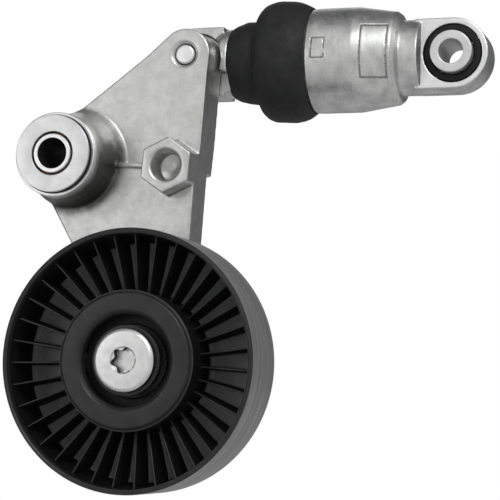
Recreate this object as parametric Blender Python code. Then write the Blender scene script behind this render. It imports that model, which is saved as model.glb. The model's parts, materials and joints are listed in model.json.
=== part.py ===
"""Hydraulic belt tensioner with an idler pulley.

A die-cast arm swings on a sleeve that is bolted to an engine. The arm carries a ribbed
idler pulley on a ball bearing, and a telescopic hydraulic damper is pinned to its lug.

Frame: metres, +Z up, +X to the right, -Y is the front. The origin is on the axis of the
pivot bolt, in the plane of the rear bolting face. All lengths below are in millimetres
and are scaled by MM where a mesh is made.
"""

import math

import bmesh
import bpy
from mathutils import Matrix, Vector

MM = 0.001
GAP = 0.3                      # clearance between pieces that touch or are nested
SHARP_ANGLE = math.radians(32.0)   # edges steeper than this stay crisp

# ---- pivot ---------------------------------------------------------------------------
SLEEVE_LENGTH = 40.2
SLEEVE_RADIUS = 6.7
PIVOT_BOLT_BORE = 5.2          # radius, clears a 10 mm bolt
BUSH_RADIUS = 9.5
BUSH_LENGTH = 11.0
BUSH_INSET = 0.6               # how far each bush sits inside the boss
BOSS_FRONT = -35.9             # front end of the arm's pivot boss
BOSS_FRONT_RADIUS = 14.6
BOSS_BASE_RADIUS = 16.7
THRUST_WASHER_RADIUS = 13.3
THRUST_WASHER_BORE = 7.5
SEAL_RADIUS = 13.6
SEAL_CUP_RADIUS = 14.5

# ---- arm -----------------------------------------------------------------------------
UPPER_FRONT, UPPER_REAR = -18.4, -3.0      # plate that carries the lug
LOWER_FRONT, LOWER_REAR = -22.0, -8.5      # plate that carries the pulley
FACE_WALL = 4.2                            # front wall left over the rear pockets
LUG_CENTRE = (40.1, 36.1)
LUG_RADIUS = 9.0
HEX_CENTRE = (37.0, -4.1)
HEX_ACROSS_FLATS = 17.0
HEX_FRONT = -29.5
HEX_TURN = math.radians(83.5)
HEX_HOLE_RADIUS = 5.1
HEX_HOLE_DEPTH = 9.0

# ---- pulley --------------------------------------------------------------------------
PULLEY_CENTRE = (32.0, -71.3)
PULLEY_FRONT, PULLEY_REAR = -53.7, -28.2
PULLEY_RADIUS = 43.5
RIM_INNER_RADIUS = 41.6
HUB_RADIUS = 22.7
WEB_DEPTH = 17.7               # the flat web's face, behind the pulley's front edge
WEB_THICKNESS = 2.7
WEB_INNER_RADIUS, WEB_OUTER_RADIUS = 24.1, 39.0
RIB_COUNT = 35
RIB_THICKNESS = 0.65
RIB_TOP_AT_HUB, RIB_TOP_AT_RIM = 9.0, 4.3   # depths behind the pulley's front edge
BEARING_FRONT, BEARING_REAR = -46.7, -34.7  # 6203 size: 17 x 40 x 12 mm
BEARING_BORE = 8.5
BEARING_OUTER = 20.0
BALL_PITCH = 14.3
BALL_RADIUS = 3.37
BALL_COUNT = 8
BOLT_RADIUS = 4.9
BOLT_HEAD_RADIUS = 10.5
BOLT_HEAD_FRONT = -55.3
BOLT_HEAD_THICKNESS = 2.4
COLLAR_RADIUS = 11.6
SPACER_RADIUS = 10.6
PULLEY_BOSS_FRONT = -26.0
PULLEY_BOSS_RADIUS = 14.0

# ---- damper, distances along its axis from the clevis pin ------------------------------
DAMPER_Y = 3.0
DAMPER_TILT = math.radians(1.4)            # its far end hangs slightly lower
EYE_DISTANCE = 91.2
EYE_RADIUS = 12.2
EYE_HALF_WIDTH = 7.2
EYE_BORE = 10.1
EYE_SLEEVE_RADIUS = 7.2
EYE_SLEEVE_BORE = 4.2
EYE_SLEEVE_HALF = 10.5
NECK_RADIUS = 13.1
FLAT_START = 80.0                          # the eye's flat faces begin here
NECK_TAPER_END = 88.0                      # the neck has run down to the eye's height here
ROD_END_HALF_HEIGHT = 12.2
ROD_END_HALF_WIDTH = 7.5
SPOT_FACE_RADIUS = 10.0                    # sunk around the lug's end
SPOT_FACE_DEPTH = 1.8
SHOULDER_BOTTOM, SHOULDER_TOP = -22.0, 110.0    # the rod end keeps its full width between these
PIN_RADIUS = 3.4
PIN_HEAD_RADIUS = 5.2
ROD_BUSH_RADIUS = 5.5
ROD_RADIUS = 3.6
TUBE_RADIUS = 8.4
TUBE_BORE = 6.4
HOUSING_BORE = 14.4
SPRING_RADIUS = 10.6
SPRING_WIRE = 1.45
SPRING_START, SPRING_END = 18.0, 60.2
SPRING_TURNS = 7.5

ROUND_SEGMENTS = 32
INNER_SEGMENTS = 24                        # for pieces that are hidden inside
BIG_SEGMENTS = 48
PULLEY_SEGMENTS = 70                       # a multiple of the rib count


# ---- scene and materials ---------------------------------------------------------------
def clear_scene():
    for old in list(bpy.data.objects):
        bpy.data.objects.remove(old, do_unlink=True)


def material(name, colour, metallic, roughness):
    made = bpy.data.materials.get(name)
    if made is None:
        made = bpy.data.materials.new(name)
        made.use_nodes = True
        shader = made.node_tree.nodes["Principled BSDF"]
        shader.inputs["Base Color"].default_value = (*colour, 1.0)
        shader.inputs["Metallic"].default_value = metallic
        shader.inputs["Roughness"].default_value = roughness
        made.diffuse_color = (*colour, 1.0)
    return made


def finish_material(node_name, kind):
    colour, metallic, roughness = FINISHES[kind]
    return material(node_name + "_material", colour, metallic, roughness)


FINISHES = {
    "cast": ((0.62, 0.62, 0.61), 0.85, 0.42),
    "steel": ((0.70, 0.70, 0.70), 1.0, 0.25),
    "zinc": ((0.78, 0.78, 0.76), 1.0, 0.30),
    "plastic": ((0.030, 0.030, 0.032), 0.0, 0.50),
    "rubber": ((0.025, 0.026, 0.028), 0.0, 0.75),
    "bronze": ((0.45, 0.30, 0.14), 1.0, 0.40),
    "nylon": ((0.75, 0.70, 0.55), 0.0, 0.50),
}


# ---- placing ---------------------------------------------------------------------------
def axis_empty(name, place, turn=0.0):
    empty = bpy.data.objects.new(name, None)
    empty.location = Vector(place) * MM
    empty.rotation_euler = (0.0, turn, 0.0)
    bpy.context.scene.collection.objects.link(empty)
    return empty


def add_object(name, mesh_data, kind, parent):
    """Scale the mesh to metres and hang the object on its joint's empty."""
    mesh = bpy.data.meshes.new(name)
    mesh_data.transform(Matrix.Scale(MM, 4))
    bmesh.ops.recalc_face_normals(mesh_data, faces=mesh_data.faces)
    mesh_data.to_mesh(mesh)
    mesh_data.free()
    mesh.shade_smooth()
    mesh.set_sharp_from_angle(angle=SHARP_ANGLE)
    made = bpy.data.objects.new(name, mesh)
    bpy.context.scene.collection.objects.link(made)
    made.parent = parent
    if kind is not None:
        mesh.materials.append(finish_material(name, kind))
    return made


# ---- shapes ----------------------------------------------------------------------------
def turned(profile, segments, axis="Y", centre=(0.0, 0.0)):
    """A body of revolution. The profile is a closed outline of (along, radius) points,
    and a radius of 0 closes the body on its axis."""
    made = bmesh.new()
    rings = []
    for along, radius in profile:
        ring = []
        count = 1 if radius == 0.0 else segments
        for step in range(count):
            angle = 2.0 * math.pi * step / segments
            across, up = radius * math.cos(angle), radius * math.sin(angle)
            if axis == "Y":
                point = (centre[0] + across, along, centre[1] + up)
            else:
                point = (along, across, up)
            ring.append(made.verts.new(point))
        rings.append(ring)
    for index, ring in enumerate(rings):
        following = rings[(index + 1) % len(rings)]
        for step in range(segments):
            after = (step + 1) % segments
            corners = [
                ring[step % len(ring)],
                ring[after % len(ring)],
                following[after % len(following)],
                following[step % len(following)],
            ]
            corners = list(dict.fromkeys(corners))
            if len(corners) > 2:
                made.faces.new(corners)
    return made


def prism(outline, front, rear):
    """An outline of (x, z) points pushed along Y."""
    made = bmesh.new()
    near = [made.verts.new((x, front, z)) for x, z in outline]
    far = [made.verts.new((x, rear, z)) for x, z in outline]
    made.faces.new(near)
    made.faces.new(far)
    for index in range(len(outline)):
        after = (index + 1) % len(outline)
        made.faces.new((near[index], near[after], far[after], far[index]))
    return made


def arc(centre, radius, start, end, steps):
    """Points on a circle, angles in degrees."""
    points = []
    for step in range(steps + 1):
        angle = math.radians(start + (end - start) * step / steps)
        points.append((centre[0] + radius * math.cos(angle), centre[1] + radius * math.sin(angle)))
    return points


def rod_shape(radius, front, rear, centre=(0.0, 0.0), segments=ROUND_SEGMENTS, axis="Y"):
    profile = [(front, 0.0), (front, radius), (rear, radius), (rear, 0.0)]
    return turned(profile, segments, axis, centre)


def ring_shape(inner, outer, front, rear, centre=(0.0, 0.0), segments=ROUND_SEGMENTS,
               axis="Y", chamfer=0.0):
    """A plain ring, with its outer corners broken by the chamfer."""
    profile = [(front, inner), (front, outer - chamfer)]
    if chamfer > 0.0:
        profile += [(front + chamfer, outer), (rear - chamfer, outer)]
    profile += [(rear, outer - chamfer), (rear, inner)]
    if chamfer == 0.0:
        profile = [(front, inner), (front, outer), (rear, outer), (rear, inner)]
    return turned(profile, segments, axis, centre)


def combine(target, tools, operation):
    """Apply exact Booleans to the target, one tool after another, and drop the tools."""
    for tool_mesh in tools:
        tool = add_object("tool", tool_mesh, None, target.parent)
        tool.hide_render = True
        tool.display_type = "WIRE"
        modifier = target.modifiers.new("combine", "BOOLEAN")
        modifier.operation = operation
        modifier.solver = "EXACT"
        modifier.object = tool
        bpy.context.view_layer.update()
        evaluated = target.evaluated_get(bpy.context.evaluated_depsgraph_get())
        result = bpy.data.meshes.new_from_object(evaluated)
        target.modifiers.clear()
        target.data = result
        bpy.data.objects.remove(tool, do_unlink=True)
    target.data.name = target.name
    target.data.shade_smooth()
    target.data.set_sharp_from_angle(angle=SHARP_ANGLE)
    return target


# ---- pivot ------------------------------------------------------------------------------
def make_pivot(pivot):
    """The sleeve and thrust washers that are bolted to the engine, and the arm's bearings."""
    front = -SLEEVE_LENGTH
    sleeve = [(front, PIVOT_BOLT_BORE + 0.4), (front, SLEEVE_RADIUS - 0.4), (front + 0.4, SLEEVE_RADIUS),
              (-0.4, SLEEVE_RADIUS), (0.0, SLEEVE_RADIUS - 0.4), (0.0, PIVOT_BOLT_BORE + 0.4),
              (-0.4, PIVOT_BOLT_BORE), (front + 0.4, PIVOT_BOLT_BORE)]
    add_object("pivot_sleeve", turned(sleeve, ROUND_SEGMENTS), "steel", pivot)
    washer = (THRUST_WASHER_BORE, THRUST_WASHER_RADIUS)
    add_object("front_thrust_washer", ring_shape(*washer, -40.0, -38.8, chamfer=0.2), "steel", pivot)
    add_object("rear_thrust_washer", ring_shape(*washer, -1.6, -0.4), "steel", pivot)
    seal = (SLEEVE_RADIUS + 0.8, SEAL_RADIUS)
    add_object("front_dust_seal", ring_shape(*seal, -38.5, -37.7), "rubber", pivot)
    add_object("rear_dust_seal", ring_shape(*seal, -2.7, -1.9), "rubber", pivot)
    cup = ring_shape(BUSH_RADIUS + 0.4, SEAL_CUP_RADIUS, -37.4, BOSS_FRONT - GAP, chamfer=0.3)
    add_object("front_seal_cup", cup, "steel", pivot)
    bush = (SLEEVE_RADIUS + GAP, BUSH_RADIUS)
    front_bush = ring_shape(*bush, BOSS_FRONT + BUSH_INSET, BOSS_FRONT + BUSH_INSET + BUSH_LENGTH,
                            segments=INNER_SEGMENTS)
    add_object("front_pivot_bush", front_bush, "bronze", pivot)
    rear_bush = ring_shape(*bush, UPPER_REAR - BUSH_INSET - BUSH_LENGTH, UPPER_REAR - BUSH_INSET,
                           segments=INNER_SEGMENTS)
    add_object("rear_pivot_bush", rear_bush, "bronze", pivot)


# ---- arm --------------------------------------------------------------------------------
def upper_outline():
    """The plate between the pivot and the lug, with the lug's round end."""
    lug = arc(LUG_CENTRE, LUG_RADIUS, 126.0, -3.0, 14)
    return [(-6.0, 13.1), (16.3, 29.0), (27.0, 36.8)] + lug + [
        (48.3, 30.0), (46.2, 6.0), (44.9, -5.2), (-7.5, -10.5)]


def lower_outline():
    """The plate that runs down to the pulley's boss."""
    return [(-12.5, -5.8), (-8.6, -13.2), (-0.5, -28.3), (18.4, -63.5), (30.0, -80.0),
            (39.4, -73.0), (43.3, -28.2), (45.3, -4.0), (43.0, -2.3), (10.0, -1.6)]


def hexagon():
    radius = HEX_ACROSS_FLATS / math.sqrt(3.0)
    points = []
    for corner in range(6):
        angle = HEX_TURN + corner * math.pi / 3.0
        points.append((HEX_CENTRE[0] + radius * math.cos(angle), HEX_CENTRE[1] + radius * math.sin(angle)))
    return points


def rear_pockets():
    """The hollows between the ribs on the arm's rear, which keep the casting light."""
    upper_floor = UPPER_FRONT + FACE_WALL
    lower_floor = LOWER_FRONT + FACE_WALL
    beyond = UPPER_REAR + 5.0
    upper = [(13.0, 17.6), (27.8, 31.6), (30.6, 25.6), (36.0, 22.9), (43.9, 22.6), (43.2, 14.5),
             (19.0, 10.5)]
    middle = [(19.8, 7.4), (42.7, 11.3), (41.6, -1.5), (19.8, -1.5)]
    lower_left = [(3.2, -20.5), (12.8, -15.8), (22.3, -53.0), (20.6, -54.6)]
    lower_right = [(16.2, -15.2), (20.2, -7.2), (41.2, -7.2), (37.9, -51.0), (25.6, -51.0)]
    return [
        prism(upper, upper_floor, beyond),
        prism(middle, upper_floor, beyond),
        prism(lower_left, lower_floor, beyond),
        prism(lower_right, lower_floor, beyond),
    ]


def make_arm(pivot):
    arm = add_object("tensioner_arm", prism(upper_outline(), UPPER_FRONT, UPPER_REAR), "cast", pivot)
    boss = [(BOSS_FRONT, 0.0), (BOSS_FRONT, BOSS_FRONT_RADIUS - 0.4), (BOSS_FRONT + 0.4, BOSS_FRONT_RADIUS),
            (-26.0, 15.4), (-22.0, BOSS_BASE_RADIUS), (UPPER_REAR, BOSS_BASE_RADIUS), (UPPER_REAR, 0.0)]
    pulley_boss = rod_shape(PULLEY_BOSS_RADIUS, PULLEY_BOSS_FRONT, LOWER_REAR, PULLEY_CENTRE)
    small_rib = prism([(13.0, -1.2), (13.0, -2.8), (29.0, -3.8), (29.0, -2.2)],
                      LOWER_FRONT - 0.8, LOWER_FRONT + 2.0)
    combine(arm, [
        prism(lower_outline(), LOWER_FRONT, LOWER_REAR),
        turned(boss, BIG_SEGMENTS),
        pulley_boss,
        prism(hexagon(), HEX_FRONT, LOWER_FRONT + 5.0),
        small_rib,
    ], "UNION")
    bore = BUSH_RADIUS + GAP
    lug_bore = PIN_RADIUS + GAP
    countersink = [(UPPER_FRONT - 2.0, 0.0), (UPPER_FRONT - 2.0, lug_bore + 2.8),
                   (UPPER_FRONT + 0.8, lug_bore), (UPPER_REAR + 5.0, lug_bore), (UPPER_REAR + 5.0, 0.0)]
    hex_hole = [(HEX_FRONT - 2.0, 0.0), (HEX_FRONT - 2.0, HEX_HOLE_RADIUS + 2.75),
                (HEX_FRONT + 0.75, HEX_HOLE_RADIUS), (HEX_FRONT + HEX_HOLE_DEPTH, HEX_HOLE_RADIUS),
                (HEX_FRONT + HEX_HOLE_DEPTH + 2.0, 0.0)]
    combine(arm, rear_pockets() + [
        rod_shape(bore, BOSS_FRONT - 5.0, UPPER_REAR + 5.0),
        turned(countersink, ROUND_SEGMENTS, centre=LUG_CENTRE),
        turned(hex_hole, ROUND_SEGMENTS, centre=HEX_CENTRE),
        rod_shape(BOLT_RADIUS + GAP, PULLEY_BOSS_FRONT - 5.0, LOWER_REAR + 5.0, PULLEY_CENTRE,
                  INNER_SEGMENTS),
    ], "DIFFERENCE")


def make_clevis_pin(pivot):
    """Pressed into the lug, with a flat head behind the damper's rod end."""
    rear = DAMPER_Y + ROD_END_HALF_WIDTH
    profile = [(UPPER_FRONT + 0.2, 0.0), (UPPER_FRONT + 0.2, PIN_RADIUS - 0.5),
               (UPPER_FRONT + 0.7, PIN_RADIUS), (rear + GAP, PIN_RADIUS), (rear + GAP, PIN_HEAD_RADIUS),
               (rear + 1.7, PIN_HEAD_RADIUS), (rear + 2.1, PIN_HEAD_RADIUS - 0.4), (rear + 2.1, 0.0)]
    add_object("clevis_pin", turned(profile, INNER_SEGMENTS, centre=LUG_CENTRE), "steel", pivot)


# ---- pulley -----------------------------------------------------------------------------
def from_front(depth):
    """Y at a depth behind the pulley's front edge."""
    return PULLEY_FRONT + depth


def pulley_profile():
    wall = RIM_INNER_RADIUS
    width = PULLEY_REAR - PULLEY_FRONT
    bore = BEARING_OUTER + GAP
    seat_front = BEARING_FRONT - GAP - PULLEY_FRONT
    web_rear = WEB_DEPTH + WEB_THICKNESS
    return [(from_front(along), radius) for along, radius in [
        (0.0, wall + 0.3), (0.0, PULLEY_RADIUS - 0.9), (0.9, PULLEY_RADIUS), (width - 0.7, PULLEY_RADIUS),
        (width, PULLEY_RADIUS - 0.7), (width, wall - 0.2), (width - 2.0, wall - 0.6), (web_rear, 38.0),
        (web_rear, bore), (seat_front, bore), (seat_front, 17.0), (3.8, 15.2), (1.0, 15.2),
        (-0.4, 16.6), (-0.3, HUB_RADIUS - 0.8), (1.2, HUB_RADIUS), (16.0, HUB_RADIUS + 0.6),
        (WEB_DEPTH, WEB_INNER_RADIUS), (WEB_DEPTH, WEB_OUTER_RADIUS), (16.0, wall - 0.9), (2.0, wall)]]


def pulley_rib(turn):
    """A thin radial rib on the web's front: its straight top edge rises from the hub to the rim."""
    half = RIB_THICKNESS / 2.0
    inner_end, outer_end = HUB_RADIUS - 0.6, RIM_INNER_RADIUS + 0.4
    foot = WEB_DEPTH + 1.1
    side = [(inner_end, RIB_TOP_AT_HUB), (outer_end, RIB_TOP_AT_RIM), (outer_end, foot), (inner_end, foot)]
    made = bmesh.new()
    near = [made.verts.new((radius, from_front(depth), -half)) for radius, depth in side]
    far = [made.verts.new((radius, from_front(depth), half)) for radius, depth in side]
    made.faces.new(near)
    made.faces.new(far)
    for index in range(len(side)):
        after = (index + 1) % len(side)
        made.faces.new((near[index], near[after], far[after], far[index]))
    made.transform(Matrix.Rotation(turn, 4, "Y"))
    return made


def make_pulley(axle):
    pulley = add_object("pulley", turned(pulley_profile(), PULLEY_SEGMENTS), "plastic", axle)
    ribs = bmesh.new()
    for index in range(RIB_COUNT):
        rib = pulley_rib(math.pi + 2.0 * math.pi * index / RIB_COUNT)
        scratch = bpy.data.meshes.new("rib")
        rib.to_mesh(scratch)
        rib.free()
        ribs.from_mesh(scratch)
        bpy.data.meshes.remove(scratch)
    combine(pulley, [ribs], "UNION")


def make_bearing(axle):
    """A deep-groove ball bearing with two rubber seals."""
    groove = BALL_RADIUS + GAP
    middle = 0.5 * (BEARING_FRONT + BEARING_REAR)
    outer_land, inner_land = 16.6, 12.0

    def race(land, back, inward):
        """The outline of a ring with a round groove of the ball's size in its land."""
        opening = math.acos((abs(land - BALL_PITCH)) / groove)
        points = [(BEARING_FRONT, land), (BEARING_FRONT, back), (BEARING_REAR, back), (BEARING_REAR, land)]
        for step in range(5):
            angle = opening - 2.0 * opening * step / 4.0
            reach = groove * math.cos(angle)
            radius = BALL_PITCH - reach if inward else BALL_PITCH + reach
            points.append((middle + groove * math.sin(angle), radius))
        return points

    add_object("bearing_outer_ring", turned(race(outer_land, BEARING_OUTER, False), ROUND_SEGMENTS),
               "steel", axle)
    add_object("bearing_inner_ring", turned(race(inner_land, BEARING_BORE, True), ROUND_SEGMENTS),
               "steel", axle)
    seal = (inner_land + GAP, outer_land - GAP)
    add_object("bearing_front_seal", ring_shape(*seal, BEARING_FRONT + 0.4, BEARING_FRONT + 1.2),
               "rubber", axle)
    add_object("bearing_rear_seal", ring_shape(*seal, BEARING_REAR - 1.2, BEARING_REAR - 0.4),
               "rubber", axle)
    cage = add_object("bearing_cage", ring_shape(13.3, 15.3, middle - 4.1, middle + 4.1), "nylon", axle)
    pockets = []
    for index in range(BALL_COUNT):
        angle = 2.0 * math.pi * index / BALL_COUNT
        place = (BALL_PITCH * math.cos(angle), middle, BALL_PITCH * math.sin(angle))
        ball = bmesh.new()
        bmesh.ops.create_uvsphere(ball, u_segments=12, v_segments=7, radius=BALL_RADIUS)
        ball.transform(Matrix.Translation(place))
        add_object("bearing_ball_%d" % (index + 1), ball, "steel", axle)
        pocket = bmesh.new()
        bmesh.ops.create_cone(pocket, cap_ends=True, segments=12, radius1=BALL_RADIUS + 0.4,
                              radius2=BALL_RADIUS + 0.4, depth=8.0)
        pocket.transform(Matrix.Rotation(-angle, 4, "Y") @ Matrix.Translation((BALL_PITCH, middle, 0.0))
                         @ Matrix.Rotation(math.pi / 2.0, 4, "Y"))
        pockets.append(pocket)
    combine(cage, pockets, "DIFFERENCE")


def lobed_outline(points):
    """The six-lobed outline of the driver recess."""
    outline = []
    for step in range(points):
        angle = 2.0 * math.pi * step / points
        radius = 4.0 + 0.45 * math.cos(6.0 * angle)
        outline.append((radius * math.cos(angle), radius * math.sin(angle)))
    return outline


def make_pulley_bolt(axle):
    """The bolt and the spacers that clamp the bearing's inner ring to the arm."""
    front = BOLT_HEAD_FRONT
    profile = [(front, 0.0), (front, BOLT_HEAD_RADIUS - 0.7), (front + 0.7, BOLT_HEAD_RADIUS),
               (front + BOLT_HEAD_THICKNESS, BOLT_HEAD_RADIUS),
               (front + BOLT_HEAD_THICKNESS, BOLT_RADIUS), (LOWER_REAR - 1.5, BOLT_RADIUS),
               (LOWER_REAR - 0.5, BOLT_RADIUS - 1.0), (LOWER_REAR - 0.5, 0.0)]
    bolt = add_object("pulley_bolt", turned(profile, ROUND_SEGMENTS), "zinc", axle)
    combine(bolt, [prism(lobed_outline(30), front - 3.0, front + 2.0)], "DIFFERENCE")
    bore = BOLT_RADIUS + GAP
    washer_front = front + BOLT_HEAD_THICKNESS + GAP
    washer_rear = washer_front + 1.4
    add_object("bolt_dust_washer", ring_shape(bore, COLLAR_RADIUS, washer_front, washer_rear), "plastic",
               axle)
    flange_front = washer_rear + GAP
    bush = [(flange_front, bore), (flange_front, SPACER_RADIUS), (BEARING_FRONT - GAP, SPACER_RADIUS),
            (BEARING_FRONT - GAP, BEARING_BORE - GAP), (BEARING_REAR - 0.5, BEARING_BORE - GAP),
            (BEARING_REAR - 0.5, bore)]
    add_object("bearing_bush", turned(bush, INNER_SEGMENTS), "steel", axle)
    spacer = ring_shape(bore, SPACER_RADIUS, BEARING_REAR + GAP, PULLEY_BOSS_FRONT - GAP)
    add_object("pulley_spacer", spacer, "steel", axle)


# ---- damper, rod side ---------------------------------------------------------------------
def make_rod_end(pin):
    """A flat-sided eye that turns on the clevis pin, with the boot's seat on its round end."""
    height, width = ROD_END_HALF_HEIGHT, ROD_END_HALF_WIDTH
    outline = arc((0.0, 0.0), height, 270.0, 90.0, 18) + [(9.6, height), (9.6, -height)]
    rod_end = add_object("rod_end", prism(outline, -width, width), "cast", pin)
    seat = [(7.0, 0.0), (7.0, 11.0), (9.2, 12.3), (12.1, 12.3), (12.1, 10.6), (14.6, 10.6), (14.6, 11.6),
            (15.4, 11.6), (16.0, 11.0), (16.0, 0.0)]
    combine(rod_end, [turned(seat, ROUND_SEGMENTS, "X")], "UNION")
    floor = -width + SPOT_FACE_DEPTH
    cleared = arc((0.0, 0.0), 30.0, SHOULDER_TOP, 360.0 + SHOULDER_BOTTOM, 6) + [(0.0, 0.0)]
    combine(rod_end, [
        rod_shape(SPOT_FACE_RADIUS, -width - 5.0, floor),
        prism(cleared, -width - 5.0, floor),
        rod_shape(ROD_BUSH_RADIUS + GAP, -width - 5.0, width + 5.0, segments=INNER_SEGMENTS),
        rod_shape(ROD_RADIUS + GAP, 8.7, 21.0, segments=INNER_SEGMENTS, axis="X"),
    ], "DIFFERENCE")
    bush = ring_shape(PIN_RADIUS + GAP, ROD_BUSH_RADIUS, floor + GAP, width - GAP,
                      segments=INNER_SEGMENTS)
    add_object("rod_eye_bush", bush, "bronze", pin)


def make_piston(pin):
    rod = [(9.0, 0.0), (9.0, ROD_RADIUS), (42.7, ROD_RADIUS), (42.7, 2.4), (47.8, 2.4), (47.8, 0.0)]
    add_object("piston_rod", turned(rod, INNER_SEGMENTS, "X"), "steel", pin)
    outer = TUBE_BORE - GAP
    piston = [(43.0, 2.7), (43.0, outer), (44.4, outer), (44.4, outer - 1.2), (46.0, outer - 1.2),
              (46.0, outer), (47.4, outer), (47.4, 2.7)]
    add_object("piston", turned(piston, INNER_SEGMENTS, "X"), "steel", pin)
    ring = ring_shape(outer - 0.9, outer, 44.7, 45.7, segments=INNER_SEGMENTS, axis="X")
    add_object("piston_ring", ring, "nylon", pin)


def make_spring(pin):
    """The helical spring that keeps the damper extended."""
    steps_per_turn, sides = 14, 5
    steps = round(SPRING_TURNS * steps_per_turn)
    made = bmesh.new()
    rings = []
    for step in range(steps + 1):
        share = step / steps
        angle = 2.0 * math.pi * SPRING_TURNS * share
        outward = Vector((0.0, math.cos(angle), math.sin(angle)))
        centre = outward * SPRING_RADIUS + Vector((SPRING_START + (SPRING_END - SPRING_START) * share, 0, 0))
        ring = []
        for side in range(sides):
            turn = 2.0 * math.pi * side / sides
            offset = outward * (SPRING_WIRE * math.cos(turn)) + Vector((SPRING_WIRE * math.sin(turn), 0, 0))
            ring.append(made.verts.new(centre + offset))
        rings.append(ring)
    for first, second in zip(rings, rings[1:]):
        for side in range(sides):
            after = (side + 1) % sides
            made.faces.new((first[side], first[after], second[after], second[side]))
    made.faces.new(rings[0])
    made.faces.new(rings[-1])
    add_object("damper_spring", made, "steel", pin)


def make_boot(pin):
    """The stepped rubber boot between the rod end and the housing."""
    outer = [(12.4, 12.6), (17.4, 14.6), (22.0, 14.8), (22.9, 17.6), (25.2, 20.3), (28.6, 21.4),
             (34.0, 21.5), (38.6, 20.4), (41.4, 18.6)]
    inner = [(41.4, 17.9), (28.0, 17.9), (23.6, 13.3), (14.9, 13.0), (14.1, 10.9), (12.4, 10.9)]
    add_object("rubber_boot", turned(outer + inner, ROUND_SEGMENTS, "X"), "rubber", pin)


# ---- damper, housing side -----------------------------------------------------------------
def make_housing(pin):
    """The cast housing: an open cylinder with a shoulder, a neck and a flat-faced eye."""
    profile = [(27.2, HOUSING_BORE), (27.2, 16.6), (28.4, 17.6), (42.0, 17.6), (42.0, 18.2), (44.0, 18.35),
               (58.0, 18.3), (71.2, 16.2), (72.6, 15.2), (73.4, NECK_RADIUS), (FLAT_START - 0.5, NECK_RADIUS),
               (NECK_TAPER_END, EYE_RADIUS + 0.1), (NECK_TAPER_END, 0.0), (63.8, 0.0),
               (63.8, TUBE_RADIUS + GAP), (62.2, TUBE_RADIUS + GAP), (62.2, HOUSING_BORE)]
    housing = add_object("damper_housing", turned(profile, BIG_SEGMENTS, "X"), "cast", pin)
    eye = arc((EYE_DISTANCE, 0.0), EYE_RADIUS, -90.0, 90.0, 24) + [(78.0, EYE_RADIUS), (78.0, -EYE_RADIUS)]
    combine(housing, [prism(eye, -EYE_HALF_WIDTH, EYE_HALF_WIDTH)], "UNION")
    flat = [(FLAT_START, 20.0), (110.0, 20.0), (110.0, -20.0), (FLAT_START, -20.0)]
    corner = [(-EYE_HALF_WIDTH - 10.0, -EYE_HALF_WIDTH), (EYE_HALF_WIDTH, EYE_HALF_WIDTH + 10.0)]
    bore_cut = turned([(-20.0, 0.0), (-20.0, EYE_BORE), (20.0, EYE_BORE), (20.0, 0.0)], ROUND_SEGMENTS,
                      centre=(EYE_DISTANCE, 0.0))
    combine(housing, [prism(flat, near, far) for near, far in corner] + [bore_cut], "DIFFERENCE")


def make_damper_inside(pin):
    tube = ring_shape(TUBE_BORE, TUBE_RADIUS, 28.6, 63.5, segments=INNER_SEGMENTS, axis="X")
    add_object("pressure_tube", tube, "steel", pin)
    bore = ROD_RADIUS + GAP
    guide = [(27.3, bore), (27.3, TUBE_RADIUS - GAP), (28.3, TUBE_RADIUS - GAP), (28.3, TUBE_BORE - GAP),
             (33.0, TUBE_BORE - GAP), (33.0, bore)]
    add_object("rod_guide", turned(guide, INNER_SEGMENTS, "X"), "bronze", pin)
    seal = ring_shape(bore, TUBE_BORE - GAP, 33.3, 35.3, segments=INNER_SEGMENTS, axis="X")
    add_object("rod_seal", seal, "rubber", pin)
    seat = [(59.2, 1.9), (59.2, TUBE_BORE - GAP), (63.4, TUBE_BORE - GAP), (63.4, 0.9), (62.7, 0.9),
            (62.7, 1.9)]
    add_object("check_valve_seat", turned(seat, INNER_SEGMENTS, "X"), "steel", pin)
    ball = bmesh.new()
    bmesh.ops.create_uvsphere(ball, u_segments=10, v_segments=6, radius=1.4)
    ball.transform(Matrix.Translation((61.0, 0.0, 0.0)))
    add_object("check_valve_ball", ball, "steel", pin)
    keeper = ring_shape(0.8, TUBE_BORE - GAP, 58.2, 58.9, segments=INNER_SEGMENTS, axis="X")
    add_object("check_valve_keeper", keeper, "steel", pin)


def make_eye_bush(pin):
    centre = (EYE_DISTANCE, 0.0)
    rubber = ring_shape(EYE_SLEEVE_RADIUS + GAP, EYE_BORE - GAP, -7.0, 7.0, centre)
    add_object("eye_rubber_bush", rubber, "rubber", pin)
    half = EYE_SLEEVE_HALF
    edge = 0.3                             # chamfer on both ends
    sleeve = [(-half, EYE_SLEEVE_BORE + edge), (-half, EYE_SLEEVE_RADIUS - edge),
              (-half + edge, EYE_SLEEVE_RADIUS), (half - edge, EYE_SLEEVE_RADIUS),
              (half, EYE_SLEEVE_RADIUS - edge), (half, EYE_SLEEVE_BORE + edge),
              (half - edge, EYE_SLEEVE_BORE), (-half + edge, EYE_SLEEVE_BORE)]
    add_object("eye_sleeve", turned(sleeve, ROUND_SEGMENTS, centre=centre), "steel", pin)


def main():
    clear_scene()
    pivot = axis_empty("pivot_axis", (0.0, 0.0, 0.0))
    axle = axis_empty("pulley_axis", (PULLEY_CENTRE[0], 0.0, PULLEY_CENTRE[1]))
    pin = axis_empty("damper_axis", (LUG_CENTRE[0], DAMPER_Y, LUG_CENTRE[1]), DAMPER_TILT)
    make_pivot(pivot)
    make_arm(pivot)
    make_clevis_pin(pivot)
    make_pulley(axle)
    make_bearing(axle)
    make_pulley_bolt(axle)
    make_rod_end(pin)
    make_piston(pin)
    make_spring(pin)
    make_boot(pin)
    make_housing(pin)
    make_damper_inside(pin)
    make_eye_bush(pin)


main()
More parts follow.
